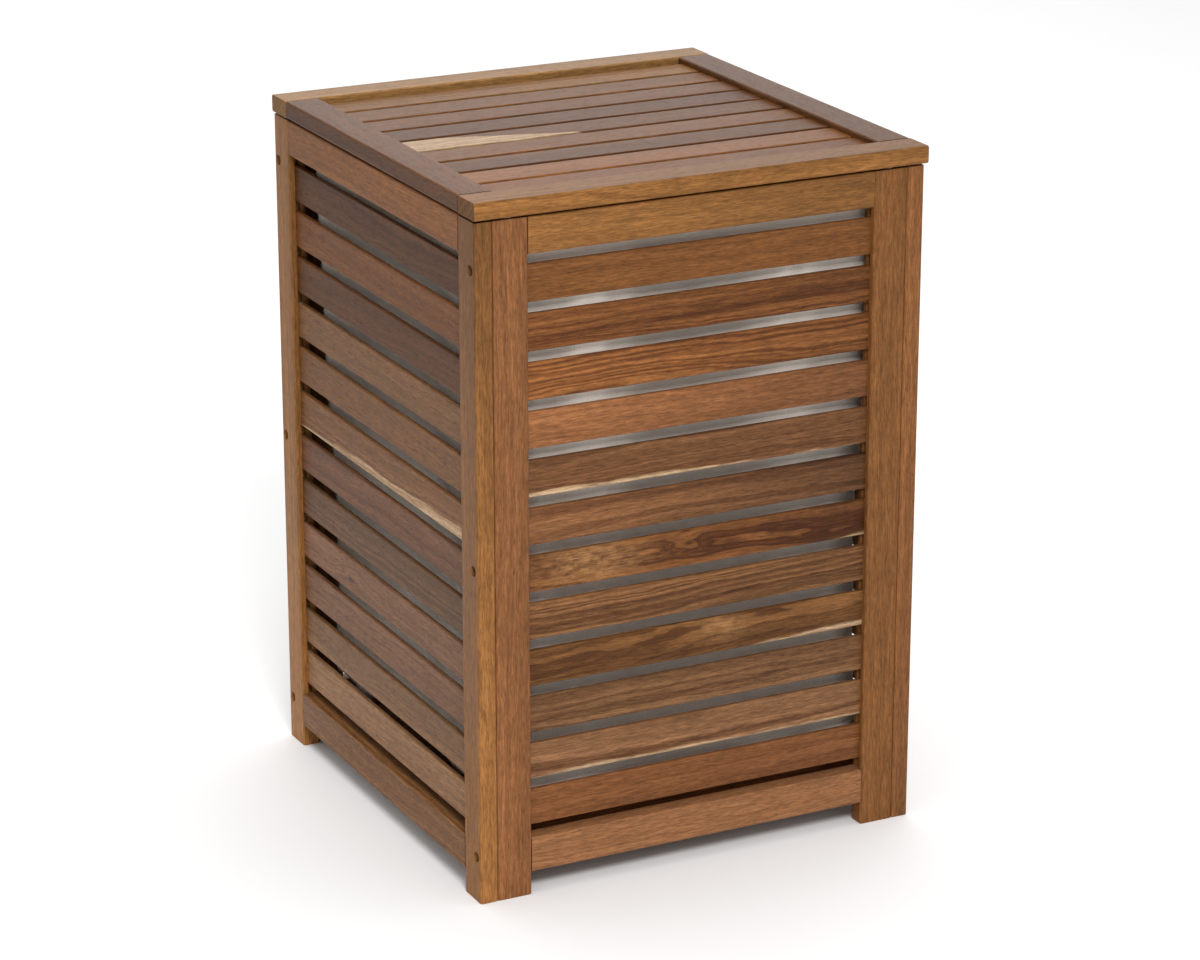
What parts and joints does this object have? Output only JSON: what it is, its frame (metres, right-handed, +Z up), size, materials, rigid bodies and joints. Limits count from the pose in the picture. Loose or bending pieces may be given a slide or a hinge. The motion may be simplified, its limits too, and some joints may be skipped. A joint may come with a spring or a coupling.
{
  "type": "laundry hamper",
  "caption": "Square slatted hardwood laundry hamper on short feet, with a hinged slatted lid, frame-and-panel sides, a slatted base and a lift-out cloth liner bag.",
  "frame": {"origin": "on the floor at the centre of the body's footprint", "axes": "+Z up, the front faces -Y, +X to the right seen from the front"},
  "size_m": [0.413, 0.4202, 0.6],
  "materials": {
    "frame_wood": "oiled, satin",
    "slat_wood": "oiled, satin",
    "lid_wood": "oiled, satin",
    "lid_slat_wood": "oiled, satin",
    "base_wood": "sanded, dry",
    "hinge_steel": "zinc plated, satin",
    "screw_steel": "zinc plated, satin",
    "stud_steel": "nickel plated, polished",
    "bumper_rubber": "translucent, matt",
    "bag_cotton": "plain-weave cotton, matt"
  },
  "bodies": {
    "hamper": {"front_left_stile": "frame_wood", "front_right_stile": "frame_wood", "right_front_stile": "frame_wood", "right_back_stile": "frame_wood", "back_right_stile": "frame_wood", "back_left_stile": "frame_wood", "left_back_stile": "frame_wood", "left_front_stile": "frame_wood", "front_top_rail": "frame_wood", "right_top_rail": "frame_wood", "back_top_rail": "frame_wood", "left_top_rail": "frame_wood", "front_bottom_rail": "frame_wood", "right_bottom_rail": "frame_wood", "back_bottom_rail": "frame_wood", "left_bottom_rail": "frame_wood", "front_slat_1": "slat_wood", "front_slat_2": "slat_wood", "front_slat_3": "slat_wood", "front_slat_4": "slat_wood", "front_slat_5": "slat_wood", "front_slat_6": "slat_wood", "front_slat_7": "slat_wood", "front_slat_8": "slat_wood", "front_slat_9": "slat_wood", "front_slat_10": "slat_wood", "front_slat_11": "slat_wood", "front_slat_12": "slat_wood", "right_slats": "slat_wood", "back_slats": "slat_wood", "left_slats": "slat_wood", "left_hinge_body_leaf": "hinge_steel", "left_hinge_pin": "hinge_steel", "right_hinge_body_leaf": "hinge_steel", "right_hinge_pin": "hinge_steel", "hinge_body_screws": "screw_steel", "corner_screws": "screw_steel", "left_base_cleat": "base_wood", "right_base_cleat": "base_wood", "base_slats": "base_wood", "base_screws": "screw_steel", "laundry_bag": "bag_cotton", "bag_studs": "stud_steel"},
    "lid": {"lid_front_rail": "lid_wood", "lid_back_rail": "lid_wood", "lid_left_rail": "lid_wood", "lid_right_rail": "lid_wood", "lid_slat_1": "lid_slat_wood", "lid_slat_2": "lid_slat_wood", "lid_slat_3": "lid_slat_wood", "lid_slat_4": "lid_slat_wood", "lid_slat_5": "lid_slat_wood", "lid_slat_6": "lid_slat_wood", "lid_slat_7": "lid_slat_wood", "lid_slat_8": "lid_slat_wood", "lid_slat_9": "lid_slat_wood", "left_hinge_lid_leaf": "hinge_steel", "right_hinge_lid_leaf": "hinge_steel", "hinge_lid_screws": "screw_steel", "lid_bumpers": "bumper_rubber"}
  },
  "joints": [
    {"name": "lid_hinge", "type": "hinge", "parent": "hamper", "child": "lid", "pos_m": [0, 0.20675, 0.584], "axis": [-1, 0, 0], "range_deg": [0, 100]}
  ]
}
